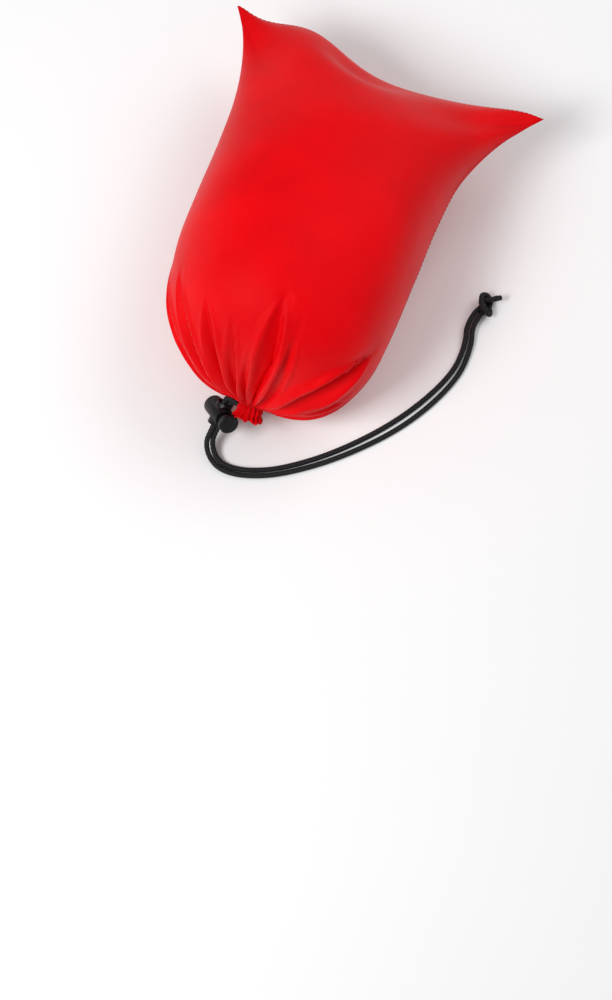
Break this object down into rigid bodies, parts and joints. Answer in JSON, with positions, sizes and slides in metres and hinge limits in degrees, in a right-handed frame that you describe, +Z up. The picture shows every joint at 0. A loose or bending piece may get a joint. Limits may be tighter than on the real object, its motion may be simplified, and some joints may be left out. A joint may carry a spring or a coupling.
{
  "type": "stuff sack",
  "caption": "Small red nylon drawcord stuff sack, filled and cinched shut, with pinched corner ears, a sliding cord lock and a knotted doubled cord tail.",
  "frame": {"origin": "middle of the flat patch that the filled sack rests on", "axes": "+Z up from the resting patch, +Y from the gathered neck to the closed end, +X to the right of a person who looks at the neck along +Y"},
  "size_m": [0.1925, 0.2384, 0.1067],
  "materials": {
    "shell_fabric": "plain-woven nylon with a soft satin sheen",
    "thread": "matt polyester thread",
    "braided_cord": "round braided polyester cord",
    "lock_plastic": "satin black moulding",
    "spring_steel": "drawn wire",
    "soft_load": "soft packed clothing"
  },
  "bodies": {
    "sack": {"front_panel": "shell_fabric", "back_panel": "shell_fabric", "casing_front": "shell_fabric", "casing_back": "shell_fabric", "left_side_stitching": "thread", "right_side_stitching": "thread", "bottom_stitching": "thread", "casing_stitching_front": "thread", "casing_stitching_back": "thread", "drawcord_casing_loop": "braided_cord", "drawcord_strand_left": "braided_cord", "drawcord_strand_right": "braided_cord", "drawcord_knot": "braided_cord", "drawcord_end_left": "braided_cord", "drawcord_end_right": "braided_cord", "stuffing": "soft_load"},
    "lock": {"lock_barrel": "lock_plastic", "lock_spring": "spring_steel"},
    "lock_button": {"lock_plunger": "lock_plastic"}
  },
  "joints": [
    {"name": "lock_slide", "type": "slide", "parent": "sack", "child": "lock", "axis": [-0.116, -0.831, -0.544], "range_m": [0, 0.006]},
    {"name": "lock_button_press", "type": "slide", "parent": "lock", "child": "lock_button", "axis": [-0.6134, 0.4907, -0.6189], "range_m": [0, 0.0036], "stiffness_N_per_m": 800, "springref_m": -0.002, "deforming": ["lock_spring"]}
  ]
}
